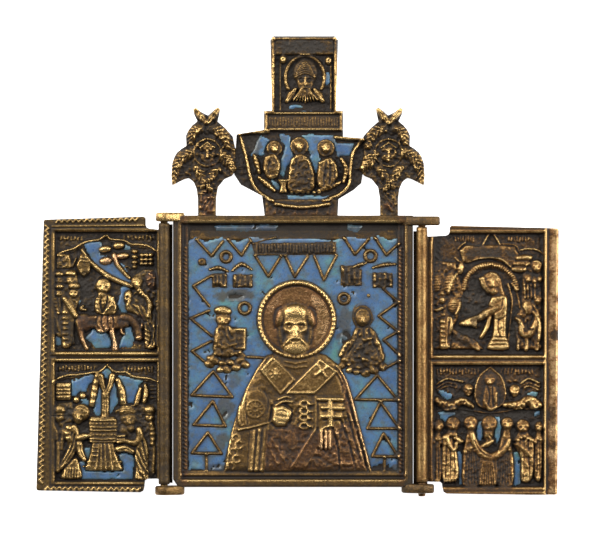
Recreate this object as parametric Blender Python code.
"""A small folding icon of three cast brass leaves with enamelled grounds, lying open on its back.

Metres, +Z up. The backs of the leaves lie on z = 0, the pictures face +Z and their tops point to +Y.
The origin is the middle of the central leaf's back. The side leaves turn on pintles in four eyes.
A picture is drawn in shares of its field: u runs from left to right and v from bottom to top.
"""

import math

import bmesh
import bpy
from mathutils import Vector

MM = 0.001

# Central leaf: a tray with rails above and below and stiles at the sides
LEAF_HALF_WIDTH = 26.3 * MM
LEAF_HALF_HEIGHT = 29.8 * MM
RAIL_WIDTH = 1.6 * MM
STILE_WIDTH = 1.7 * MM
ROPE_BAND_WIDTH = 1.5 * MM
CENTRE_RIM = 3.0 * MM
CENTRE_GROUND = 1.35 * MM
ROPE_BAND_LEVEL = 1.8 * MM
ROPE_RISE = 0.5 * MM
SILL_WIDTH = 1.9 * MM

# Crest above the top rail: plates of their own thickness. Its outlines count in CREST_UNIT, with heights from
# the rail's outer edge.
CREST_UNIT = 1.0 * MM
CREST_THICKNESS = 1.7 * MM
CREST_GROUND = 1.2 * MM
CREST_RIM = 2.2 * MM
CREST_BORDER = 0.9 * MM
SERAPH_PLACES = {-1: -18.9 * MM, 1: 21.1 * MM}
SERAPH_FOOT = 0.6 * MM
SERAPH_HEIGHT = 23.1 * MM
VASE_OUTLINE = (
    (-6.2, -0.4),
    (9.8, -0.4),
    (10.0, 3.6),
    (13.3, 5.6),
    (15.0, 7.1),
    (15.6, 11.2),
    (15.6, 16.9),
    (11.0, 17.3),
    (11.0, 18.8),
    (-6.4, 18.8),
    (-12.4, 17.8),
    (-12.9, 9.0),
    (-11.5, 6.8),
    (-6.8, 4.3),
)
BAND_BOX = (-6.4, 18.4, 11.0, 23.0)
TOP_PANEL_OUTLINE = ((-4.6, 22.6), (9.4, 22.6), (9.9, 38.5), (9.2, 39.4), (-4.3, 39.4), (-5.0, 38.5))

# Side leaves, measured outwards from the hinge axis
LEAF_GROUND = 1.05 * MM
LEAF_FACE = 2.0 * MM
LEAF_RIM = 2.4 * MM
LIP_WIDTH = 2.5 * MM
LIP_THICKNESS = 0.85 * MM
REBATE_DEPTH = 0.95 * MM
REBATE_CLEARANCE = 0.3 * MM
FIELD_GAP = 2.0 * MM
BORDER_RIDGE = 0.6 * MM
GAP_BETWEEN_LEAVES = 0.2 * MM

# Hinges: an eye at each end of each rail, a barrel and two pintles on each side leaf
HINGE_REACH = 1.95 * MM
HINGE_AXIS_X = LEAF_HALF_WIDTH + HINGE_REACH
HINGE_AXIS_Z = (CENTRE_RIM + LEAF_RIM + GAP_BETWEEN_LEAVES) / 2
EYE_RADIUS = 1.85 * MM
EYE_THICKNESS = 2.0 * MM
NOSE_RADIUS = 1.2 * MM
# (side, end) of each eye: how far its inner face lies inside the rail's edge, and its nose's reach past
# the axis
EYES = {
    (-1, 1): (1.35 * MM, 0.65 * MM),
    (1, 1): (2.2 * MM, 2.8 * MM),
    (-1, -1): (0.3 * MM, 0.8 * MM),
    (1, -1): (0.7 * MM, 1.5 * MM),
}
PINTLE_RADIUS = 0.8 * MM
PINTLE_CLEARANCE = 0.12 * MM
PINTLE_PROUD = 0.7 * MM
PROUD_PINTLE = (1, -1)
END_CLEARANCE = 0.35 * MM
BARREL_RADIUS = 1.25 * MM
WEB_THICKNESS = 1.1 * MM
WEB_CLEARANCE = 0.15 * MM
SLAB_START = 0.5 * MM
SADDLE_LEVEL = 2.25 * MM
ROUND_SIDES = 12

# How far a raised form starts below the ground that it stands on
SINK = 0.25 * MM

# How near two points may be before they are joined, and how flat two faces are that become one
TIDY_REACHES = (0.004 * MM, 0.002 * MM, 0.001 * MM, 0.0005 * MM)
TIDY_ANGLE = math.radians(0.4)

BRASS = (0.50, 0.36, 0.19, 1.0)


def clear_scene():
    for obj in list(bpy.data.objects):
        bpy.data.objects.remove(obj, do_unlink=True)


def brass_material(name, colour, roughness):
    material = bpy.data.materials.new(name)
    material.use_nodes = True
    shader = material.node_tree.nodes["Principled BSDF"]
    shader.inputs["Base Color"].default_value = colour
    shader.inputs["Metallic"].default_value = 1.0
    shader.inputs["Roughness"].default_value = roughness
    return material


def object_of(name, mesh_builder):
    """An object in the scene that holds a bmesh's faces, all turned outwards."""
    bmesh.ops.recalc_face_normals(mesh_builder, faces=mesh_builder.faces)
    mesh = bpy.data.meshes.new(name)
    mesh_builder.to_mesh(mesh)
    mesh_builder.free()
    obj = bpy.data.objects.new(name, mesh)
    bpy.context.scene.collection.objects.link(obj)
    return obj


def boolean(target, tool, operation, use_self=False):
    """Joins the tool to the target or cuts it away, then removes the tool."""
    modifier = target.modifiers.new(tool.name, "BOOLEAN")
    modifier.operation = operation
    modifier.object = tool
    modifier.use_self = use_self
    graph = bpy.context.evaluated_depsgraph_get()
    result = bpy.data.meshes.new_from_object(target.evaluated_get(graph))
    target.modifiers.clear()
    target.data = result
    bpy.data.objects.remove(tool, do_unlink=True)


def tidied(mesh, reach):
    """A copy of the mesh with points that almost meet joined, and flat faces that share an edge."""
    cleaned = bmesh.new()
    cleaned.from_mesh(mesh)
    bmesh.ops.remove_doubles(cleaned, verts=cleaned.verts, dist=reach)
    bmesh.ops.dissolve_degenerate(cleaned, edges=cleaned.edges, dist=reach)
    bmesh.ops.dissolve_limit(cleaned, angle_limit=TIDY_ANGLE, verts=cleaned.verts, edges=cleaned.edges)
    bmesh.ops.triangulate(cleaned, faces=cleaned.faces)
    loose = [edge for edge in cleaned.edges if not edge.link_faces]
    bmesh.ops.delete(cleaned, geom=loose, context="EDGES")
    stray = [vert for vert in cleaned.verts if not vert.link_faces]
    bmesh.ops.delete(cleaned, geom=stray, context="VERTS")
    return cleaned


def tidy(leaf):
    """Tidies the leaf's mesh with the widest reach that leaves it closed."""
    for reach in TIDY_REACHES:
        cleaned = tidied(leaf.data, reach)
        closed = all(len(edge.link_faces) == 2 for edge in cleaned.edges)
        if closed:
            cleaned.to_mesh(leaf.data)
        cleaned.free()
        if closed:
            return


class Shells:
    """Closed shells gathered in one mesh, drawn in a field and standing on its ground."""

    def __init__(self, field, ground):
        self.left, self.bottom, self.width, self.height = field
        self.base = ground - SINK
        self.ground = ground
        self.mesh = bmesh.new()

    def at(self, u, v):
        return self.left + u * self.width, self.bottom + v * self.height

    def along(self, shares):
        return [self.at(u, v) for u, v in shares]

    def prism(self, outline, top, bottom=None):
        """An upright block with this outline."""
        low = self.base if bottom is None else bottom
        lower = [self.mesh.verts.new((x, y, low)) for x, y in outline]
        upper = [self.mesh.verts.new((x, y, top)) for x, y in outline]
        self.mesh.faces.new(lower[::-1])
        self.mesh.faces.new(upper)
        for i, vert in enumerate(lower):
            j = (i + 1) % len(lower)
            self.mesh.faces.new((vert, lower[j], upper[j], upper[i]))

    def block(self, left, bottom, right, top_edge, top, low=None):
        corners = [(left, bottom), (right, bottom), (right, top_edge), (left, top_edge)]
        self.prism(corners, top, low)

    def sheet(self, rows, wrap=False):
        """A raised surface through rows of points, closed down to the base.

        wrap joins the last row to the first.
        """
        upper = [[self.mesh.verts.new(p) for p in row] for row in rows]
        lower = [[self.mesh.verts.new((p[0], p[1], self.base)) for p in row] for row in rows]
        count, across = len(rows), len(rows[0])
        steps = count if wrap else count - 1
        for i in range(steps):
            here, after = i, (i + 1) % count
            for j in range(across - 1):
                k = j + 1
                self.mesh.faces.new((upper[here][j], upper[after][j], upper[after][k], upper[here][k]))
                self.mesh.faces.new((lower[here][j], lower[here][k], lower[after][k], lower[after][j]))
            for j in (0, across - 1):
                self.mesh.faces.new((upper[here][j], lower[here][j], lower[after][j], upper[after][j]))
        if wrap:
            return
        for i in (0, count - 1):
            for j in range(across - 1):
                self.mesh.faces.new((upper[i][j], upper[i][j + 1], lower[i][j + 1], lower[i][j]))

    def dome(self, centre, radii, top, sides=10, shoulder=0.72, turn=0.0):
        """A rounded boss: an ellipse at the ground, a smaller one near the top and a crown."""
        cx, cy = centre
        levels = [(1.0, self.base), (1.0, self.ground)]
        if shoulder:
            levels.append((shoulder, self.ground + 0.7 * (top - self.ground)))
        rings = []
        for scale, z in levels:
            ring = []
            for i in range(sides):
                angle = 2 * math.pi * i / sides
                x, y = radii[0] * scale * math.cos(angle), radii[1] * scale * math.sin(angle)
                across = x * math.cos(turn) - y * math.sin(turn)
                up = x * math.sin(turn) + y * math.cos(turn)
                ring.append(self.mesh.verts.new((cx + across, cy + up, z)))
            rings.append(ring)
        crown = self.mesh.verts.new((cx, cy, top))
        self.mesh.faces.new(rings[0][::-1])
        for low, high in zip(rings, rings[1:]):
            for i in range(sides):
                j = (i + 1) % sides
                self.mesh.faces.new((low[i], low[j], high[j], high[i]))
        for i in range(sides):
            self.mesh.faces.new((rings[-1][i], rings[-1][(i + 1) % sides], crown))

    def ridge(self, points, width, top, closed=False):
        """A bar with sloping sides along a line of points."""
        line = [Vector(p) for p in points]
        rows = []
        for i, point in enumerate(line):
            before = line[i - 1] if i or closed else None
            after = line[(i + 1) % len(line)] if i + 1 < len(line) or closed else None
            into = (point - before).normalized() if before is not None else (after - point).normalized()
            out = (after - point).normalized() if after is not None else into
            side = Vector((-(into + out).y, (into + out).x)).normalized()
            reach = width / 2 / max(0.45, side.dot(Vector((-into.y, into.x))))
            foot = self.ground - SINK / 2
            left, right = point + side * reach, point - side * reach
            rows.append([(left.x, left.y, foot), (point.x, point.y, top), (right.x, right.y, foot)])
        self.sheet(rows, wrap=closed)

    def ring(self, centre, radius, width, top, sides=12, start=0.0, sweep=2 * math.pi):
        """A round ridge, whole or part of a circle."""
        whole = sweep >= 2 * math.pi
        steps = sides if whole else sides + 1
        angles = [start + sweep * i / sides for i in range(steps)]
        points = [(centre[0] + radius * math.cos(a), centre[1] + radius * math.sin(a)) for a in angles]
        self.ridge(points, width, top, closed=whole)

    def knob(self, centre, radii, top, sides=6):
        """A small boss: a low cone on a short upright edge."""
        self.dome(centre, radii, top, sides, shoulder=None)

    def disc(self, centre, radius, top, sides=12):
        angles = [2 * math.pi * (i + 0.5) / sides for i in range(sides)]
        rim = [(centre[0] + radius * math.cos(a), centre[1] + radius * math.sin(a)) for a in angles]
        self.prism(rim, top)

    def robe(self, rows, top, folds):
        """Drapery: each row is (centre x, y, half width, fullness), with this many folds across."""
        columns = 2 * folds + 1
        surface = []
        for x, y, half, fullness in rows:
            line = []
            for j in range(columns):
                share = -1 + 2 * j / (columns - 1)
                crown = math.sqrt(max(0.0, 1 - (0.94 * share) ** 2))
                fold = 1.0 if j % 2 else 0.74
                z = self.ground + (top - self.ground) * fullness * crown * fold
                line.append((x + half * share, y, z))
            surface.append(line)
        self.sheet(surface)

    def add_to(self, leaf, name):
        """Joins every shell with the leaf."""
        boolean(leaf, object_of(name, self.mesh), "UNION", use_self=True)


# Figures and props of the small pictures, in shares of the field's height

HEAD_SHARE = 0.135
BODY_ROWS = ((0.0, 1.0, 0.55), (0.3, 0.86, 0.75), (0.62, 0.92, 0.95), (0.8, 0.62, 0.7))


def figure(art, foot, height, half_width, lean=0.0, hands=(), halo=True, folds=2, top=None):
    """A robed figure in relief: drapery from the hem to the shoulders, a head and its halo, and forearms."""
    tall, wide = height * art.height, half_width * art.height
    crest = top if top is not None else art.ground + 1.0 * MM
    x, y = art.at(*foot)
    shift = lean * art.height
    rows = [(x + shift * s, y + tall * s, wide * w, f) for s, w, f in BODY_ROWS]
    art.robe(rows, crest, folds)
    head_x, head_y = x + shift, y + tall * (1 - HEAD_SHARE * 0.6)
    size = tall * HEAD_SHARE * 0.62
    if halo:
        art.disc((head_x, head_y), size * 1.75, art.ground + 0.5 * (crest - art.ground), sides=8)
    art.dome((head_x, head_y), (size * 0.9, size * 1.12), crest + 0.05 * MM, sides=6)
    shoulder = (x + shift * 0.72, y + tall * 0.64)
    for hand in hands:
        art.ridge([shoulder, art.at(*hand)], wide * 0.62, crest - 0.1 * MM)


def strokes(art, left, right, bottom, top, count, rise):
    """A line of writing as upright strokes that are no letters."""
    for i in range(count):
        u = left + (right - left) * (i + 0.5) / count
        low = bottom + (top - bottom) * (0.25 if i % 3 == 1 else 0.0)
        art.ridge(art.along([(u, low), (u, top)]), 0.34 * MM, art.ground + rise)


def cloud_border(art, shares, rise=0.75 * MM):
    art.ridge(art.along(shares), 0.8 * MM, art.ground + rise)


def entry_picture(art):
    """A rider between two crowds, with a hillside, a tree and a town above."""
    cloud_border(art, [(0.0, 0.81), (0.14, 0.84), (0.3, 0.915), (0.49, 0.965), (0.7, 0.905), (1.0, 0.82)])
    strokes(art, 0.04, 0.3, 0.92, 0.98, 3, 0.5 * MM)
    strokes(art, 0.68, 0.96, 0.925, 0.98, 3, 0.5 * MM)
    hillside = [(0.25, 0.84), (0.4, 0.69), (0.56, 0.6), (0.74, 0.54)]
    art.ridge(art.along(hillside), 1.0 * MM, art.ground + 0.8 * MM)
    for u, v, size in ((0.49, 0.86, 0.055), (0.61, 0.88, 0.05), (0.5, 0.765, 0.06), (0.67, 0.8, 0.05)):
        radius = size * art.height
        art.knob(art.at(u, v), (radius, radius * 0.8), art.ground + 0.95 * MM, sides=7)
    art.ridge(art.along([(0.6, 0.84), (0.64, 0.72), (0.74, 0.6)]), 0.7 * MM, art.ground + 0.7 * MM)
    art.knob(art.at(0.285, 0.72), (0.07 * art.height, 0.1 * art.height), art.ground + 0.9 * MM, sides=8)
    for u, v in ((0.77, 0.84), (0.77, 0.785), (0.77, 0.73), (0.88, 0.77)):
        art.knob(art.at(u, v), (0.95 * MM, 0.62 * MM), art.ground + 0.9 * MM)
    # Donkey: body, neck and hanging head, four legs
    art.dome(art.at(0.5, 0.3), (0.27 * art.width, 0.08 * art.height), art.ground + 0.8 * MM, sides=10)
    art.ridge(art.along([(0.68, 0.29), (0.79, 0.22), (0.8, 0.1)]), 2.0 * MM, art.ground + 0.95 * MM)
    for top_u, foot_u in ((0.27, 0.31), (0.35, 0.27), (0.58, 0.57), (0.63, 0.53)):
        art.ridge(art.along([(top_u, 0.26), (foot_u, 0.02)]), 1.3 * MM, art.ground + 0.7 * MM)
    figure(art, (0.47, 0.17), 0.45, 0.105, hands=[(0.58, 0.36), (0.4, 0.36)], top=art.ground + 1.15 * MM)
    for foot_u, height, lean in ((0.06, 0.6, 0.0), (0.17, 0.57, 0.02), (0.84, 0.6, 0.0), (0.95, 0.66, -0.01)):
        figure(art, (foot_u, 0.02), height, 0.07, lean=lean, halo=False, folds=1)
    figure(art, (0.75, 0.28), 0.36, 0.05, halo=True, folds=1)


def presentation_picture(art):
    """An altar under a canopy, with two bowed figures and two attendants."""
    sky = [(0.0, 0.81), (0.18, 0.88), (0.34, 0.9), (0.5, 0.955), (0.6, 0.91), (0.8, 0.85), (1.0, 0.82)]
    cloud_border(art, sky)
    strokes(art, 0.03, 0.4, 0.925, 0.98, 4, 0.5 * MM)
    strokes(art, 0.66, 0.97, 0.92, 0.98, 4, 0.5 * MM)
    for posts in (((0.41, 0.86), (0.37, 0.6)), ((0.62, 0.85), (0.67, 0.62)), ((0.5, 0.7), (0.5, 0.55))):
        art.ridge(art.along(posts), 1.2 * MM, art.ground + 0.8 * MM)
    art.ridge(art.along([(0.44, 0.88), (0.5, 0.71), (0.585, 0.88)]), 0.9 * MM, art.ground + 0.75 * MM)
    # Altar: banded drum over a spreading skirt
    for low, high, half, top in (
        (0.5, 0.555, 0.1, 0.75),
        (0.45, 0.49, 0.125, 0.95),
        (0.36, 0.44, 0.115, 0.85),
        (0.3, 0.35, 0.13, 1.04),
    ):
        corners = [(0.475 - half, low), (0.475 + half, low), (0.475 + half, high), (0.475 - half, high)]
        art.prism(art.along(corners), art.ground + top * MM)
    x, y = art.at(0.475, 0.09)
    wide, tall = art.width, art.height
    skirt = [
        (x, y, 0.17 * wide, 0.85),
        (x, y + 0.06 * tall, 0.155 * wide, 0.8),
        (x, y + 0.225 * tall, 0.1 * wide, 0.8),
    ]
    art.robe(skirt, art.ground + 0.97 * MM, 3)
    for u, low, high in ((0.11, 0.69, 0.745), (0.11, 0.755, 0.8)):
        block = [(u - 0.06, low), (u + 0.06, low), (u + 0.06, high), (u - 0.06, high)]
        art.prism(art.along(block), art.ground + 0.7 * MM)
    art.ridge(art.along([(0.84, 0.62), (0.88, 0.8), (0.9, 0.62)]), 0.9 * MM, art.ground + 0.7 * MM)
    art.ridge(art.along([(0.19, 0.6), (0.29, 0.71)]), 0.8 * MM, art.ground + 0.6 * MM)
    figure(art, (0.06, 0.04), 0.56, 0.055, folds=1)
    figure(art, (0.93, 0.04), 0.56, 0.055, folds=1)
    figure(art, (0.19, 0.02), 0.6, 0.095, lean=0.075, hands=[(0.35, 0.34)], top=art.ground + 1.2 * MM)
    hands = [(0.64, 0.33), (0.66, 0.25)]
    figure(art, (0.85, 0.02), 0.61, 0.1, lean=-0.1, hands=hands, top=art.ground + 1.2 * MM)


def descent_picture(art):
    """A figure in a rayed arch who raises a kneeling one, between two groups."""
    sky = [(0.22, 0.8), (0.28, 0.89), (0.44, 0.89), (0.51, 0.97), (0.59, 0.89), (0.74, 0.88), (0.78, 0.8)]
    cloud_border(art, sky)
    cloud_border(art, [(0.78, 0.83), (0.9, 0.86), (1.0, 0.82)])
    strokes(art, 0.04, 0.36, 0.915, 0.98, 4, 0.5 * MM)
    strokes(art, 0.68, 0.92, 0.915, 0.98, 3, 0.5 * MM)
    centre = art.at(0.51, 0.45)
    radius = 0.262 * art.width
    art.ring(centre, radius, 2.0 * MM, art.ground + 0.75 * MM, sides=10, start=0.02, sweep=0.99 * math.pi)
    rays = 7
    for i in range(rays):
        angle = math.pi * (0.08 + 0.84 * i / (rays - 1))
        inner, outer = radius * 0.9, radius * 1.13
        ends = [(centre[0] + r * math.cos(angle), centre[1] + r * math.sin(angle)) for r in (inner, outer)]
        art.ridge(ends, 0.5 * MM, art.ground + 0.9 * MM)
    for offset in (0.0, 0.055):
        art.ridge(art.along([(0.72 + offset, 0.42), (0.7 + offset, 0.1)]), 0.7 * MM, art.ground + 0.6 * MM)
    figure(art, (0.56, 0.05), 0.66, 0.105, lean=-0.03, hands=[(0.34, 0.27)], top=art.ground + 1.25 * MM)
    for v in (0.05, 0.1):
        art.ridge(art.along([(0.44, v), (0.66, v + 0.01)]), 1.0 * MM, art.ground + 0.95 * MM)
    top = art.ground + 1.1 * MM
    figure(art, (0.13, 0.05), 0.4, 0.075, lean=0.03, hands=[(0.33, 0.29)], halo=False, top=top)
    figure(art, (0.86, 0.05), 0.36, 0.085, lean=-0.02, hands=[(0.76, 0.27)], halo=False, top=top)
    onlookers = ((0.06, 0.62), (0.16, 0.65), (0.08, 0.5), (0.9, 0.7), (0.96, 0.45), (0.87, 0.56), (0.96, 0.6))
    for u, v in onlookers:
        art.dome(art.at(u, v), (1.05 * MM, 1.15 * MM), art.ground + 0.9 * MM, sides=6, shoulder=0.6)
    art.ridge(art.along([(0.5, 0.09), (0.3, 0.06)]), 1.6 * MM, art.ground + 0.6 * MM)


def ascension_picture(art):
    """A standing figure between two winged ones, a crowd at each side, and a glory with two bearers."""
    strokes(art, 0.03, 0.4, 0.93, 0.985, 4, 0.5 * MM)
    strokes(art, 0.62, 0.95, 0.93, 0.985, 4, 0.5 * MM)
    tip = [
        (0.515, 0.97), (0.42, 0.88), (0.385, 0.76), (0.43, 0.66),
        (0.515, 0.61), (0.6, 0.66), (0.645, 0.76), (0.61, 0.88),
    ]
    art.ridge(art.along(tip), 0.7 * MM, art.ground + 0.85 * MM, closed=True)
    figure(art, (0.515, 0.65), 0.27, 0.065, halo=True, top=art.ground + 1.1 * MM)
    for side in (-1, 1):
        u = 0.515 + side * 0.2
        body = [(u - side * 0.05, 0.66), (u + side * 0.1, 0.68), (u + side * 0.26, 0.64)]
        art.ridge(art.along(body), 1.7 * MM, art.ground + 0.9 * MM)
        art.dome(art.at(u + side * 0.01, 0.76), (0.95 * MM, 1.1 * MM), art.ground + 1.0 * MM, sides=6)
        wing = [(u + side * 0.05, 0.8), (u + side * 0.18, 0.86), (u + side * 0.28, 0.83)]
        art.ridge(art.along(wing), 1.0 * MM, art.ground + 0.8 * MM)
        figure(art, (0.515 + side * 0.17, 0.02), 0.52, 0.07, hands=[(0.515 + side * 0.06, 0.24)])
        figure(art, (0.515 + side * 0.34, 0.02), 0.53, 0.07, lean=-side * 0.01, folds=1)
        figure(art, (0.515 + side * 0.455, 0.02), 0.52, 0.045, halo=False, folds=1)
    figure(art, (0.515, 0.02), 0.56, 0.085, folds=3, top=art.ground + 1.2 * MM)
    arms = [(0.37, 0.4), (0.43, 0.28), (0.52, 0.23), (0.61, 0.28), (0.68, 0.4)]
    art.ridge(art.along(arms), 1.2 * MM, art.ground + 1.3 * MM)


# Central leaf

FIELD_INSET = STILE_WIDTH + ROPE_BAND_WIDTH


def central_field():
    """The enamelled field inside the rope bands, the sill and the rails."""
    left = -LEAF_HALF_WIDTH + FIELD_INSET
    bottom = -LEAF_HALF_HEIGHT + RAIL_WIDTH + SILL_WIDTH
    width = 2 * (LEAF_HALF_WIDTH - FIELD_INSET)
    return left, bottom, width, LEAF_HALF_HEIGHT - RAIL_WIDTH - bottom


def ornament(art):
    """Raised lines on the ground: pendant points, side zigzags, stacked triangles, rings and monograms."""
    line, rise = 0.62 * MM, art.ground + 0.45 * MM
    for u, v, half, drop in (
        (0.1, 0.936, 0.058, 0.064),
        (0.252, 0.924, 0.05, 0.052),
        (0.384, 0.866, 0.068, 0.078),
        (0.514, 0.862, 0.052, 0.086),
        (0.65, 0.862, 0.056, 0.092),
        (0.795, 0.94, 0.053, 0.068),
        (0.94, 0.926, 0.05, 0.056),
    ):
        art.ridge(art.along([(u - half, v), (u, v - drop), (u + half, v)]), line, rise)
    left_zigzag = [
        (0.13, 0.806), (0.024, 0.753), (0.102, 0.66), (0.019, 0.612),
        (0.11, 0.536), (0.021, 0.489), (0.071, 0.444),
    ]
    right_zigzag = [
        (0.917, 0.735), (0.985, 0.69), (0.908, 0.628), (0.985, 0.562),
        (0.917, 0.525), (0.985, 0.457), (0.93, 0.415),
    ]
    art.ridge(art.along(left_zigzag), line, rise)
    art.ridge(art.along(right_zigzag), line, rise)
    for u, apex, foot, half in (
        (0.117, 0.4, 0.298, 0.093),
        (0.109, 0.279, 0.18, 0.077),
        (0.096, 0.158, 0.074, 0.07),
        (0.897, 0.382, 0.29, 0.089),
        (0.919, 0.273, 0.173, 0.065),
        (0.926, 0.144, 0.056, 0.06),
    ):
        art.ridge(art.along([(u - half, foot), (u, apex), (u + half, foot)]), line, rise, closed=True)
    for u in (0.096, 0.926):
        art.ridge(art.along([(u, 0.065), (u, 0.012)]), line, rise)
    for u, v in ((0.185, 0.863), (0.271, 0.65), (0.864, 0.866), (0.743, 0.694)):
        art.ring(art.at(u, v), 1.15 * MM, 0.8 * MM, rise + 0.15 * MM, sides=7)
    art.disc(art.at(0.064, 0.844), 0.75 * MM, rise, sides=6)
    for u, v in ((0.148, 0.775), (0.26, 0.775), (0.777, 0.785), (0.933, 0.78)):
        bow = [(u - 0.043, v + 0.028), (u, v + 0.045), (u + 0.043, v + 0.028)]
        art.ridge(art.along(bow), 0.9 * MM, rise + 0.15 * MM)
        for side in (-1, 1):
            leg = [(u + side * 0.012, v + 0.015), (u + side * 0.036, v - 0.035)]
            art.ridge(art.along(leg), 0.9 * MM, rise + 0.1 * MM)


def title_tablet(art):
    outline = art.along([(0.305, 0.874), (0.71, 0.874), (0.71, 0.928), (0.305, 0.928)])
    art.prism(outline, art.ground + 0.3 * MM)
    strokes(art, 0.31, 0.705, 0.878, 0.924, 11, 0.65 * MM)


def side_figure(art, u, v, size, book):
    """A half figure on a bank of cloud, beside the bust's head. size is its height's share."""
    tall = size * art.height
    x, y = art.at(u, v)
    top = art.ground + 0.95 * MM
    art.disc((x, y + 0.8 * tall), 0.17 * tall, art.ground + 0.5 * MM, sides=9)
    art.dome((x, y + 0.79 * tall), (0.1 * tall, 0.13 * tall), top + 0.1 * MM, sides=6)
    rows = [
        (x, y, 0.3 * tall, 0.7),
        (x, y + 0.25 * tall, 0.3 * tall, 0.9),
        (x, y + 0.5 * tall, 0.26 * tall, 0.95),
    ]
    art.robe(rows + [(x, y + 0.68 * tall, 0.12 * tall, 0.7)], top, 2)
    for share in (-1, 0, 1):
        centre = (x + 0.3 * tall * share, y + 0.06 * tall * (abs(share) - 0.9))
        art.knob(centre, (0.16 * tall, 0.11 * tall), art.ground + 0.9 * MM, sides=7)
    if book:
        page = [(0.16, 0.26), (0.46, 0.24), (0.46, 0.56), (0.16, 0.6)]
        art.prism([(x + a * tall, y + b * tall) for a, b in page], art.ground + 0.85 * MM)
        return
    for side in (-1, 1):
        hand = (x + side * 0.42 * tall, y + 0.28 * tall)
        art.ridge([(x + side * 0.12 * tall, y + 0.5 * tall), hand], 0.22 * tall, art.ground + 0.85 * MM)


def bust_head(art):
    """Hair, face, nose, brow and beard on plain proportions."""
    ground = art.ground
    x, y = art.at(0.5155, 0.585)
    size = 0.092 * art.height
    art.dome((x, y + 0.1 * size), (0.88 * size, 0.92 * size), ground + 1.1 * MM, sides=12, shoulder=0.88)
    art.dome((x, y - 0.02 * size), (0.6 * size, 0.86 * size), ground + 1.5 * MM, sides=10, shoulder=0.8)
    art.ridge([(x, y + 0.14 * size), (x, y - 0.24 * size)], 0.34 * size, ground + 1.68 * MM)
    for side in (-1, 1):
        eye = x + side * 0.28 * size
        brow = [(eye - side * 0.2 * size, y + 0.12 * size), (eye + side * 0.22 * size, y + 0.15 * size)]
        art.ridge(brow, 0.55 * MM, ground + 1.62 * MM)
        art.knob((eye, y - 0.02 * size), (0.13 * size, 0.08 * size), ground + 1.56 * MM, sides=5)
        strand = [(x, y - 0.36 * size), (x + side * 0.4 * size, y - 0.6 * size)]
        art.ridge(strand, 0.24 * size, ground + 1.6 * MM)
        for a, b in ((0.74, 0.3), (0.74, -0.12)):
            art.knob((x + side * a * size, y + b * size), (0.2 * size, 0.2 * size), ground + 1.2 * MM)
    art.dome((x, y - 0.86 * size), (0.52 * size, 0.48 * size), ground + 1.5 * MM, sides=9, shoulder=0.8)


def bust_vestments(art):
    """The robe, the crossing bands over the shoulders, the sleeve and the patterned panel."""
    ground = art.ground
    rows = [
        (0.5215, 0.0, 0.345, 0.62),
        (0.5155, 0.15, 0.315, 0.7),
        (0.5215, 0.229, 0.29, 0.76),
        (0.522, 0.324, 0.252, 0.82),
        (0.525, 0.408, 0.2, 0.84),
        (0.512, 0.475, 0.125, 0.78),
    ]
    art.robe([(*art.at(u, v), half * art.width, full) for u, v, half, full in rows], ground + 1.15 * MM, 3)
    left_band = [(0.394, 0.47), (0.512, 0.366), (0.432, 0.298), (0.326, 0.408)]
    right_band = [(0.634, 0.476), (0.727, 0.4), (0.606, 0.303), (0.444, 0.303)]
    for band, level in ((left_band, 1.2), (right_band, 1.35)):
        art.prism(art.along(band), ground + level * MM)
    for path, level in (
        ([(0.394, 0.47), (0.5, 0.376)], 1.4),
        ([(0.326, 0.408), (0.432, 0.298)], 1.4),
        ([(0.634, 0.476), (0.444, 0.303)], 1.55),
        ([(0.727, 0.4), (0.606, 0.303)], 1.55),
        ([(0.66, 0.415), (0.6, 0.36)], 1.5),
        ([(0.605, 0.415), (0.655, 0.36)], 1.5),
    ):
        art.ridge(art.along(path), 0.7 * MM, ground + level * MM)
    # Sleeve: its hem and the lining's upright folds
    for path in (
        [(0.215, 0.15), (0.382, 0.2)],
        [(0.25, 0.15), (0.24, 0.01)],
        [(0.313, 0.17), (0.305, 0.01)],
        [(0.375, 0.185), (0.36, 0.01)],
        [(0.357, 0.276), (0.388, 0.213)],
    ):
        art.ridge(art.along(path), 0.7 * MM, ground + 1.2 * MM)
    # Patterned panel, the drop and the row of loops on the chest
    art.prism(art.along([(0.475, 0.012), (0.562, 0.004), (0.64, 0.07), (0.606, 0.166)]), ground + 1.2 * MM)
    art.ridge(art.along([(0.475, 0.018), (0.606, 0.166)]), 0.7 * MM, ground + 1.35 * MM)
    art.knob(art.at(0.488, 0.134), (1.3 * MM, 2.8 * MM), ground + 1.35 * MM, sides=8)
    for i in range(4):
        art.knob(art.at(0.56, 0.282 - 0.037 * i), (1.0 * MM, 0.8 * MM), ground + 1.35 * MM)


def bust_hands(art):
    """A raised hand with folded fingers, and a covered hand that holds a book and a cross."""
    ground = art.ground
    art.dome(art.at(0.446, 0.222), (0.048 * art.width, 0.048 * art.height), ground + 1.55 * MM, sides=8)
    art.ridge(art.along([(0.413, 0.258), (0.492, 0.282)]), 1.1 * MM, ground + 1.6 * MM)
    art.prism(art.along([(0.615, 0.185), (0.745, 0.185), (0.745, 0.297), (0.615, 0.297)]), ground + 1.2 * MM)
    for low_u, high_u, v in ((0.66, 0.738, 0.288), (0.637, 0.738, 0.222), (0.65, 0.715, 0.195)):
        art.ridge(art.along([(low_u, v), (high_u, v)]), 1.3 * MM, ground + 1.5 * MM)
    art.ridge(art.along([(0.697, 0.292), (0.688, 0.16)]), 1.7 * MM, ground + 1.55 * MM)
    for i in range(3):
        u = 0.64 + 0.024 * i
        art.ridge(art.along([(u, 0.158), (u, 0.095)]), 1.05 * MM, ground + 1.5 * MM)


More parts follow.
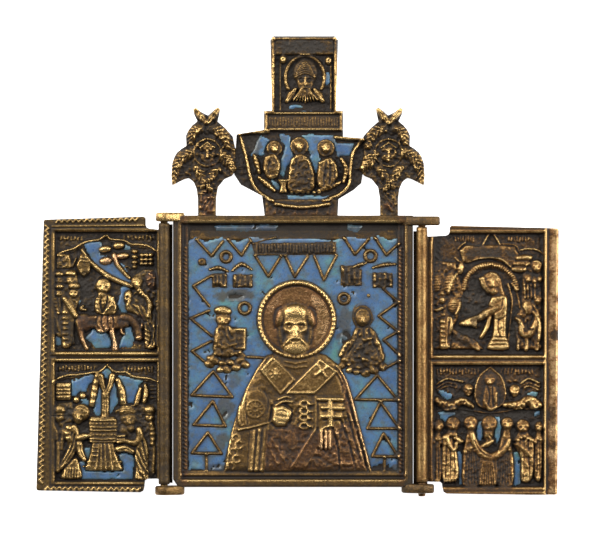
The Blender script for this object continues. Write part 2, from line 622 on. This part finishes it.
def bust(art):
    """The haloed half figure of a bearded bishop, in the largest relief."""
    centre = art.at(0.517, 0.612)
    halo = 0.163 * art.height
    art.disc(centre, halo * 0.95, art.ground + 0.35 * MM, sides=20)
    art.ring(centre, halo * 0.93, 1.2 * MM, art.ground + 0.9 * MM, sides=20)
    bust_vestments(art)
    bust_hands(art)
    bust_head(art)


def cut_corner(leaf):
    """The lower left corner is cast short, which leaves a small gap beside the low eye."""
    x, y = -LEAF_HALF_WIDTH, -LEAF_HALF_HEIGHT
    corner = Shells((0, 0, 1, 1), 0)
    outline = [
        (x - 1.0 * MM, y - 1.0 * MM),
        (x + 1.2 * MM, y - 1.0 * MM),
        (x, y + 1.7 * MM),
        (x - 1.0 * MM, y + 1.7 * MM),
    ]
    corner.prism(outline, 2 * CENTRE_RIM, -CENTRE_RIM)
    boolean(leaf, object_of("corner", corner.mesh), "DIFFERENCE")


def cut_tray(leaf):
    """Sinks the field and the rope bands into the block of the central leaf."""
    left, bottom, width, height = central_field()
    over = CENTRE_RIM + 1.0 * MM
    side, top = LEAF_HALF_WIDTH - STILE_WIDTH, LEAF_HALF_HEIGHT - RAIL_WIDTH
    upper = Shells((0, 0, 1, 1), 0)
    upper.block(-side, -top, side, top, over, low=ROPE_BAND_LEVEL)
    boolean(leaf, object_of("upper_pocket", upper.mesh), "DIFFERENCE")
    field = Shells((0, 0, 1, 1), 0)
    field.block(left, bottom, left + width, bottom + height, over, low=CENTRE_GROUND)
    boolean(leaf, object_of("field_pocket", field.mesh), "DIFFERENCE")


def rope_bands(art):
    left, bottom, width, height = central_field()
    inset = ROPE_BAND_WIDTH / 2
    for x in (left - inset, left + width + inset):
        ends = [(x, bottom + inset), (x, bottom + height - inset)]
        art.ridge(ends, 0.7 * ROPE_BAND_WIDTH, ROPE_BAND_LEVEL + ROPE_RISE)


# Hinges

def round_points(centre, radius, start=0.0, sweep=2 * math.pi, sides=ROUND_SIDES):
    steps = sides if sweep >= 2 * math.pi else sides + 1
    angles = [start + sweep * i / sides for i in range(steps)]
    return [(centre[0] + radius * math.cos(a), centre[1] + radius * math.sin(a)) for a in angles]


def bar_along_y(mesh_builder, outline, low_y, high_y):
    """A bar that runs along Y, with its outline given in x and z."""
    near = [mesh_builder.verts.new((x, low_y, z)) for x, z in outline]
    far = [mesh_builder.verts.new((x, high_y, z)) for x, z in outline]
    mesh_builder.faces.new(near)
    mesh_builder.faces.new(far[::-1])
    for i, vert in enumerate(near):
        j = (i + 1) % len(near)
        mesh_builder.faces.new((vert, far[i], far[j], near[j]))


def eye_span(side, end):
    """(inner y, outer y) of the eye on this side (-1 left, 1 right) and end (-1 lower, 1 upper)."""
    inset, _ = EYES[side, end]
    inner = LEAF_HALF_HEIGHT - inset
    return end * inner, end * (inner + EYE_THICKNESS)


def hull(circles):
    """The outline of a belt around circles, each (x, z, radius)."""
    points = []
    for x, z, radius in circles:
        points += round_points((x, z), radius)
    points.sort()
    chains = []
    for ordered in (points, points[::-1]):
        chain = []
        for point in ordered:
            while len(chain) > 1:
                ahead = Vector(chain[-1]) - Vector(chain[-2])
                turn = Vector(point) - Vector(chain[-1])
                if ahead.x * turn.y - ahead.y * turn.x > 0:
                    break
                chain.pop()
            chain.append(point)
        chains.append(chain[:-1])
    return chains[0] + chains[1]


def hinge_eye(leaf, side, end):
    """A bored eye on an arm that grows out of the rail's end, with a nose past the axis."""
    inner, outer = eye_span(side, end)
    low, high = min(inner, outer), max(inner, outer)
    root_radius = CENTRE_RIM / 2
    _, nose = EYES[side, end]
    circles = (
        (side * (LEAF_HALF_WIDTH - root_radius + 0.5 * MM), root_radius, root_radius),
        (side * HINGE_AXIS_X, HINGE_AXIS_Z, EYE_RADIUS),
        (side * (HINGE_AXIS_X + nose), HINGE_AXIS_Z, NOSE_RADIUS),
    )
    arm = bmesh.new()
    bar_along_y(arm, hull(circles), low, high)
    boolean(leaf, object_of("arm", arm), "UNION")
    bore = bmesh.new()
    clear = 1.0 * MM
    axis = (side * HINGE_AXIS_X, HINGE_AXIS_Z)
    bar_along_y(bore, round_points(axis, PINTLE_RADIUS + PINTLE_CLEARANCE), low - clear, high + clear)
    boolean(leaf, object_of("bore", bore), "DIFFERENCE")


# Crest: two seraphs on posts, a vase panel, an inscription band and a top panel

SERAPH_OUTLINE = (
    (-0.085, -0.05),
    (-0.087, 0.14),
    (-0.104, 0.245),
    (-0.165, 0.32),
    (-0.235, 0.35),
    (-0.29, 0.42),
    (-0.245, 0.725),
    (-0.1, 0.868),
    (-0.125, 0.99),
    (-0.1, 1.0),
    (-0.01, 0.925),
    (0.105, 0.998),
    (0.132, 0.985),
    (0.09, 0.87),
    (0.175, 0.785),
    (0.2, 0.735),
    (0.196, 0.635),
    (0.285, 0.572),
    (0.33, 0.47),
    (0.338, 0.35),
    (0.33, 0.262),
    (0.255, 0.3),
    (0.175, 0.33),
    (0.122, 0.285),
    (0.098, 0.225),
    (0.087, 0.14),
    (0.085, -0.05),
)


def seraph_frame(side):
    """(foot x, foot y, scale) of a seraph. Its shares run outwards and up from its foot."""
    return SERAPH_PLACES[side], LEAF_HALF_HEIGHT + SERAPH_FOOT, SERAPH_HEIGHT


def seraph_points(side, shares):
    x, y, scale = seraph_frame(side)
    return [(x + side * a * scale, y + b * scale) for a, b in shares]


def on_crest(points):
    """Places on the crest, from (x, height above the rail's edge) in crest units."""
    return [(x * CREST_UNIT, LEAF_HALF_HEIGHT + y * CREST_UNIT) for x, y in points]


def crest_plates(leaf):
    """The flat castings of the crest, joined through overlaps."""
    left, bottom, right, top = BAND_BOX
    foot_left, foot_right = VASE_OUTLINE[0][0], VASE_OUTLINE[1][0]
    foot_low, foot_high = VASE_OUTLINE[0][1], VASE_OUTLINE[2][1]
    plates = [(seraph_points(side, SERAPH_OUTLINE), CREST_THICKNESS) for side in (-1, 1)]
    plates += [
        (on_crest(VASE_OUTLINE), CREST_GROUND),
        (on_crest([(left, bottom), (right, bottom), (right, top), (left, top)]), CREST_THICKNESS),
        (on_crest(TOP_PANEL_OUTLINE), CREST_GROUND),
        (
            on_crest([
                (foot_left, foot_low),
                (foot_right, foot_low),
                (foot_right, foot_high),
                (foot_left, foot_high),
            ]),
            CREST_THICKNESS,
        ),
    ]
    for outline, thickness in plates:
        plate = Shells((0, 0, 1, 1), 0)
        plate.prism(outline, thickness, 0.0)
        boolean(leaf, object_of("crest_plate", plate.mesh), "UNION")


SERAPH_WINGS = (
    # (path, width in millimetres): the crossed tips, outer wing, inner wing and the wings crossed below
    (((-0.02, 0.85), (-0.1, 0.96)), 1.4),
    (((0.01, 0.85), (0.1, 0.96)), 1.4),
    (((0.08, 0.81), (0.14, 0.74), (0.15, 0.67)), 1.4),
    (((-0.08, 0.8), (-0.15, 0.72), (-0.19, 0.62)), 1.5),
    (((0.155, 0.585), (0.25, 0.51), (0.295, 0.36)), 1.6),
    (((0.13, 0.49), (0.185, 0.44), (0.205, 0.375)), 1.4),
    (((-0.15, 0.56), (-0.2, 0.5), (-0.23, 0.42)), 1.5),
    (((0.09, 0.39), (-0.04, 0.2)), 1.3),
    (((-0.1, 0.39), (0.04, 0.24)), 1.3),
)


def seraph_relief(art, side):
    """Feathered wings around a haloed face."""
    _, _, scale = seraph_frame(side)
    for path, width in SERAPH_WINGS:
        art.ridge(seraph_points(side, path), width * MM, art.ground + 0.6 * MM)
    centre = seraph_points(side, [(-0.005, 0.57)])[0]
    art.ring(centre, 0.135 * scale, 0.8 * MM, art.ground + 0.7 * MM, sides=10)
    art.dome(centre, (0.085 * scale, 0.11 * scale), art.ground + 1.15 * MM, sides=8)
    x, y = centre
    art.ridge([(x, y + 0.02 * scale), (x, y - 0.035 * scale)], 0.9 * MM, art.ground + 1.3 * MM)


def seated_figure(art, foot, tall, lean):
    """A half figure seen from the front, with a ring for its halo. tall is up to the head's middle."""
    x, y = foot
    top = art.ground + 1.0 * MM
    rows = [(x + lean * 0.9, y, 0.36 * tall, 0.7), (x + lean * 0.5, y + 0.45 * tall, 0.3 * tall, 0.95)]
    art.robe(rows + [(x + lean * 0.1, y + 0.72 * tall, 0.14 * tall, 0.7)], top, 2)
    head = (x, y + tall)
    art.disc(head, 0.29 * tall, art.ground + 0.55 * MM, sides=8)
    art.dome(head, (0.15 * tall, 0.19 * tall), top + 0.1 * MM, sides=6)


def vase_relief(art):
    """Three seated figures at a table with a cup, inside raised edges."""
    for edge in (
        [(-11.9, 17.2), (-8.6, 6.8), (-7.0, 4.8), (-4.5, 3.4)],
        [(14.9, 16.4), (12.2, 7.8), (9.0, 4.8), (6.6, 3.8)],
        [(-11.8, 17.5), (-6.2, 17.8)],
        [(10.8, 17.1), (15.0, 16.6)],
        [(-6.0, 1.5), (9.6, 1.5)],
    ):
        art.ridge(on_crest(edge), 1.0 * MM, CREST_RIM)
    for x, y, tall, lean in ((-3.9, 8.2, 5.5, -1.2), (1.3, 8.4, 7.2, 0.5), (7.3, 8.2, 6.4, 1.0)):
        foot = on_crest([(x, y)])[0]
        seated_figure(art, foot, tall * CREST_UNIT, lean * CREST_UNIT)
    for tip, root in (((-8.4, 13.2), (-6.4, 10.2)), ((11.6, 13.2), (9.6, 9.6))):
        art.ridge(on_crest([tip, root]), 1.8 * MM, art.ground + 0.75 * MM)
    art.ridge(on_crest([(-0.6, 7.4), (6.2, 7.2)]), 2.0 * MM, art.ground + 0.8 * MM)
    cup = [(-3.3, 8.1), (-0.9, 8.1), (-1.7, 6.6), (-1.0, 5.0), (-3.2, 5.0), (-2.5, 6.6)]
    art.prism(on_crest(cup), art.ground + 0.9 * MM)


def band_relief(art):
    left, bottom, right, top = BAND_BOX
    frame = [
        (left + 0.6, bottom + 0.5),
        (right - 0.6, bottom + 0.5),
        (right - 0.6, top - 0.6),
        (left + 0.6, top - 0.6),
    ]
    art.ridge(on_crest(frame), CREST_BORDER, CREST_RIM, closed=True)
    count = 8
    for i in range(count):
        x = left + 1.9 + (right - left - 3.8) * i / (count - 1)
        art.ridge(on_crest([(x, bottom + 1.5), (x, top - 1.7)]), 0.5 * MM, art.ground + 0.35 * MM)


def top_panel_relief(art):
    """A bearded head and its halo on a hanging cloth, in a raised frame."""
    frame = [(-4.0, 23.6), (8.7, 23.6), (9.2, 38.7), (-4.3, 38.7)]
    art.ridge(on_crest(frame), CREST_BORDER * 1.3, CREST_RIM, closed=True)
    for post in ([(-3.0, 33.4), (-3.0, 24.8)], [(8.1, 32.6), (7.9, 24.6)]):
        art.ridge(on_crest(post), 0.6 * MM, art.ground + 0.6 * MM)
    for knob in ((-2.3, 34.4), (7.7, 34.0)):
        art.knob(on_crest([knob])[0], (0.75 * CREST_UNIT, 0.9 * CREST_UNIT), art.ground + 0.8 * MM)
    x, y = on_crest([(2.6, 31.1)])[0]
    unit = CREST_UNIT
    art.ring((x, y), 3.95 * unit, 1.1 * unit, art.ground + 0.85 * unit, 11, -0.75, math.pi + 1.5)
    art.dome((x, y + 0.3 * unit), (2.5 * unit, 2.5 * unit), art.ground + 1.0 * unit, 10, 0.85)
    art.dome((x, y - 1.6 * unit), (1.5 * unit, 2.6 * unit), art.ground + 1.15 * unit, 8, 0.75)
    art.ridge([(x, y - 0.9 * unit), (x, y - 2.6 * unit)], 0.9 * unit, art.ground + 1.3 * unit)
    for side in (-1, 1):
        lock = [(x + side * 2.0 * unit, y - 3.4 * unit), (x + side * 3.9 * unit, y - 5.4 * unit)]
        art.ridge(lock, 2.4 * unit, art.ground + 0.9 * unit)
        strand = [(x + side * 0.7 * unit, y - 2.8 * unit), (x + side * 1.6 * unit, y - 6.0 * unit)]
        art.ridge(strand, 1.5 * unit, art.ground + 1.1 * unit)
    art.ridge([(x, y - 2.8 * unit), (x, y - 6.4 * unit)], 1.5 * unit, art.ground + 1.15 * unit)


def central_leaf():
    block = Shells((0, 0, 1, 1), 0)
    block.block(-LEAF_HALF_WIDTH, -LEAF_HALF_HEIGHT, LEAF_HALF_WIDTH, LEAF_HALF_HEIGHT, CENTRE_RIM, 0.0)
    leaf = object_of("central_leaf", block.mesh)
    cut_tray(leaf)
    cut_corner(leaf)
    crest_plates(leaf)
    for side in (-1, 1):
        for end in (-1, 1):
            hinge_eye(leaf, side, end)

    ropes = Shells(central_field(), ROPE_BAND_LEVEL)
    rope_bands(ropes)
    ropes.add_to(leaf, "rope_bands")
    picture = Shells(central_field(), CENTRE_GROUND)
    ornament(picture)
    title_tablet(picture)
    side_figure(picture, 0.171, 0.432, 0.246, book=True)
    side_figure(picture, 0.829, 0.412, 0.262, book=False)
    bust(picture)
    picture.add_to(leaf, "central_picture")

    seraphs = Shells((0, 0, 1, 1), CREST_THICKNESS)
    for side in (-1, 1):
        seraph_relief(seraphs, side)
    band_relief(seraphs)
    seraphs.add_to(leaf, "seraphs_and_band")
    panels = Shells((0, 0, 1, 1), CREST_GROUND)
    vase_relief(panels)
    top_panel_relief(panels)
    panels.add_to(leaf, "crest_panels")
    return leaf


# Side leaves. Each is drawn for its own side of the central leaf.

class SideLeaf:
    """Sizes of one side leaf. Distances outwards are from its hinge axis, and heights are along Y.

    short is how far its free edge stops from the middle line when it is shut, above and below. drops and
    passes are how far its corners lie inside the top edge and past the bottom edge of the central leaf, at the
    hinge and outside. notches gives the width and the clearance of the notch at each eye, above and below.
    """

    def __init__(self, name, side, short, drops, passes, notches, frame, lip):
        self.name = name
        self.side = side
        self.top_width, self.bottom_width = (HINGE_AXIS_X - gap for gap in short)
        self.top_inner, self.top_outer = (LEAF_HALF_HEIGHT - drop for drop in drops)
        self.bottom_inner, self.bottom_outer = (-LEAF_HALF_HEIGHT - past for past in passes)
        (upper_width, upper_clearance), (lower_width, lower_clearance) = notches
        self.upper_notch = upper_width, eye_span(side, 1)[0] - upper_clearance
        self.lower_notch = lower_width, eye_span(side, -1)[0] + lower_clearance
        self.frame_inner, self.frame_outer, self.frame_top, self.frame_bottom = frame
        self.lip = lip

    def x(self, outwards):
        return self.side * (HINGE_AXIS_X + outwards)

    def outline(self):
        """The plate from the hinge zone to its free edge, before its notches are cut."""
        points = [
            (SLAB_START, self.top_inner),
            (self.top_width, self.top_outer),
            (self.bottom_width, self.bottom_outer),
            (SLAB_START, self.bottom_inner),
        ]
        return [(self.x(s), y) for s, y in points]

    def fields(self):
        """(upper field, lower field), each (left, bottom, width, height)."""
        inner, outer = self.frame_inner, min(self.top_width, self.bottom_width) - self.frame_outer
        left = min(self.x(inner), self.x(outer))
        top = min(self.top_inner, self.top_outer) - self.frame_top
        bottom = max(self.bottom_inner, self.bottom_outer) + self.frame_bottom
        height = (top - bottom - FIELD_GAP) / 2
        width = outer - inner
        return (left, bottom + height + FIELD_GAP, width, height), (left, bottom, width, height)


LEFT_LEAF = SideLeaf(
    name="left_leaf",
    side=-1,
    short=(1.75 * MM, 0.15 * MM),
    drops=(0.1 * MM, 0.9 * MM),
    passes=(1.3 * MM, 0.8 * MM),
    notches=((4.15 * MM, 1.55 * MM), (4.4 * MM, 1.5 * MM)),
    frame=(1.5 * MM, 2.4 * MM, 2.6 * MM, 1.9 * MM),
    lip=False,
)
RIGHT_LEAF = SideLeaf(
    name="right_leaf",
    side=1,
    short=(0.55 * MM, 0.85 * MM),
    drops=(2.1 * MM, 2.8 * MM),
    passes=(1.4 * MM, 1.8 * MM),
    notches=((6.2 * MM, 2.2 * MM), (4.6 * MM, 0.5 * MM)),
    frame=(2.5 * MM, 0.9 * MM, 1.0 * MM, 1.3 * MM),
    lip=True,
)


def leaf_slab(sizes):
    outline = sizes.outline()
    if sizes.side > 0:
        outline = outline[::-1]
    slab = Shells((0, 0, 1, 1), 0)
    slab.prism(outline, LEAF_FACE, 0.0)
    return object_of(sizes.name, slab.mesh)


def join_web(leaf, sizes):
    """The web between slab and barrel, and a saddle under the barrel. It meets the central leaf when open."""
    reach = HINGE_AXIS_X - LEAF_HALF_WIDTH - WEB_CLEARANCE
    chamfer = HINGE_AXIS_Z - math.sqrt(HINGE_AXIS_Z**2 - reach**2)
    profile = [
        (-reach, chamfer),
        (0.0, 0.0),
        (BARREL_RADIUS, 0.0),
        (BARREL_RADIUS, SADDLE_LEVEL),
        (0.0, SADDLE_LEVEL),
        (-0.7 * MM, LEAF_FACE),
        (-0.9 * MM, WEB_THICKNESS),
        (-reach, WEB_THICKNESS),
    ]
    web = bmesh.new()
    outline = [(sizes.x(s), z) for s, z in profile]
    bar_along_y(web, outline, sizes.lower_notch[1] - 1.0 * MM, sizes.upper_notch[1] + 1.0 * MM)
    boolean(leaf, object_of("web", web), "UNION")


def join_barrel(leaf, sizes):
    """The barrel and a pintle at each of its ends."""
    axis = (sizes.x(0), HINGE_AXIS_Z)
    upper = eye_span(sizes.side, 1)
    lower = eye_span(sizes.side, -1)
    body = bmesh.new()
    bar_along_y(body, round_points(axis, BARREL_RADIUS), lower[0] + END_CLEARANCE, upper[0] - END_CLEARANCE)
    boolean(leaf, object_of("barrel", body), "UNION")
    for end, span in ((1, upper), (-1, lower)):
        proud = PINTLE_PROUD if (sizes.side, end) == PROUD_PINTLE else -0.15 * MM
        start = span[0] - end * (END_CLEARANCE + 1.0 * MM)
        finish = span[1] + end * proud
        pintle = bmesh.new()
        bar_along_y(pintle, round_points(axis, PINTLE_RADIUS), min(start, finish), max(start, finish))
        boolean(leaf, object_of("pintle", pintle), "UNION")


def sink_fields(leaf, sizes):
    over = LEAF_RIM + 1.0 * MM
    for left, bottom, width, height in sizes.fields():
        pocket = Shells((0, 0, 1, 1), 0)
        pocket.block(left, bottom, left + width, bottom + height, over, low=LEAF_GROUND)
        boolean(leaf, object_of("field_pocket", pocket.mesh), "DIFFERENCE")


def frame_ridges(sizes):
    """A raised line around each field, and one along the free edges."""
    art = Shells((0, 0, 1, 1), LEAF_FACE)
    out = BORDER_RIDGE / 2 + 0.05 * MM
    for left, bottom, width, height in sizes.fields():
        corners = [
            (left - out, bottom - out),
            (left + width + out, bottom - out),
            (left + width + out, bottom + height + out),
            (left - out, bottom + height + out),
        ]
        art.ridge(corners, BORDER_RIDGE, LEAF_RIM - 0.1 * MM, closed=True)
    if sizes.lip:
        return art
    inset = 0.85 * MM
    upper, lower = sizes.upper_notch[0] + inset, sizes.lower_notch[0] + inset
    edge = [
        (sizes.x(upper), sizes.top_inner - inset),
        (sizes.x(sizes.top_width - inset), sizes.top_outer - inset),
        (sizes.x(sizes.bottom_width - inset), sizes.bottom_outer + inset),
        (sizes.x(lower), sizes.bottom_inner + inset),
    ]
    art.ridge(edge, 1.0 * MM, LEAF_RIM)
    return art


def closing_lip(leaf, sizes):
    """A thin strip along the free edge that laps over the other leaf's back when both are shut."""
    lap = 0.8 * MM
    strip = Shells((0, 0, 1, 1), 0)
    points = [
        (sizes.top_width - lap, sizes.top_outer),
        (sizes.top_width + LIP_WIDTH, sizes.top_outer),
        (sizes.bottom_width + LIP_WIDTH, sizes.bottom_outer),
        (sizes.bottom_width - lap, sizes.bottom_outer),
    ]
    strip.prism([(sizes.x(s), y) for s, y in points][::-1], LIP_THICKNESS, 0.0)
    boolean(leaf, object_of("lip", strip.mesh), "UNION")


def cut_notches(leaf, sizes):
    """Clears both corners at the hinge, where the eyes stand."""
    far = 2 * LEAF_HALF_HEIGHT
    for (width, edge), end in ((sizes.upper_notch, far), (sizes.lower_notch, -far)):
        near, past = sizes.x(-5.0 * MM), sizes.x(width)
        notch = Shells((0, 0, 1, 1), 0)
        notch.block(min(near, past), min(edge, end), max(near, past), max(edge, end), 2 * LEAF_RIM, -LEAF_RIM)
        boolean(leaf, object_of("notch", notch.mesh), "DIFFERENCE")


def lip_rebate(leaf, sizes):
    """A step along the back of the free edge, where the other leaf's lip lies when both are shut."""
    lip_reach = max(RIGHT_LEAF.top_width, RIGHT_LEAF.bottom_width) + LIP_WIDTH + REBATE_CLEARANCE
    start = sizes.x(2 * HINGE_AXIS_X - lip_reach)
    past = sizes.x(max(sizes.top_width, sizes.bottom_width) + 1.0 * MM)
    step = Shells((0, 0, 1, 1), 0)
    reach = 2 * LEAF_HALF_HEIGHT
    step.block(min(start, past), -reach, max(start, past), reach, REBATE_DEPTH, -1.0 * MM)
    boolean(leaf, object_of("rebate", step.mesh), "DIFFERENCE")


def side_leaf(sizes, pictures):
    leaf = leaf_slab(sizes)
    join_web(leaf, sizes)
    sink_fields(leaf, sizes)
    frame_ridges(sizes).add_to(leaf, "frame_ridges")
    if sizes.lip:
        closing_lip(leaf, sizes)
    else:
        lip_rebate(leaf, sizes)
    for field, picture in zip(sizes.fields(), pictures):
        art = Shells(field, LEAF_GROUND)
        picture(art)
        trim_to_field(art, field)
        art.add_to(leaf, picture.__name__)
    cut_notches(leaf, sizes)
    join_barrel(leaf, sizes)
    return leaf


def trim_to_field(art, field):
    """Nothing in a picture reaches past its frame's middle."""
    left, bottom, width, height = field
    slack = BORDER_RIDGE
    for vert in art.mesh.verts:
        vert.co.x = min(max(vert.co.x, left - slack), left + width + slack)
        vert.co.y = min(max(vert.co.y, bottom - slack), bottom + height + slack)


def put_on_axis(leaf, sizes):
    """Moves the leaf's origin onto its hinge axis without moving the leaf."""
    axis = Vector((sizes.x(0), 0.0, HINGE_AXIS_Z))
    for vert in leaf.data.vertices:
        vert.co -= axis
    leaf.location = axis


def main():
    clear_scene()
    centre = central_leaf()
    tidy(centre)
    centre.data.materials.append(brass_material("aged_brass_centre", BRASS, 0.42))
    for sizes, pictures in (
        (LEFT_LEAF, (entry_picture, presentation_picture)),
        (RIGHT_LEAF, (descent_picture, ascension_picture)),
    ):
        leaf = side_leaf(sizes, pictures)
        tidy(leaf)
        put_on_axis(leaf, sizes)
        leaf.data.materials.append(brass_material("aged_brass_" + sizes.name, BRASS, 0.45))


main()
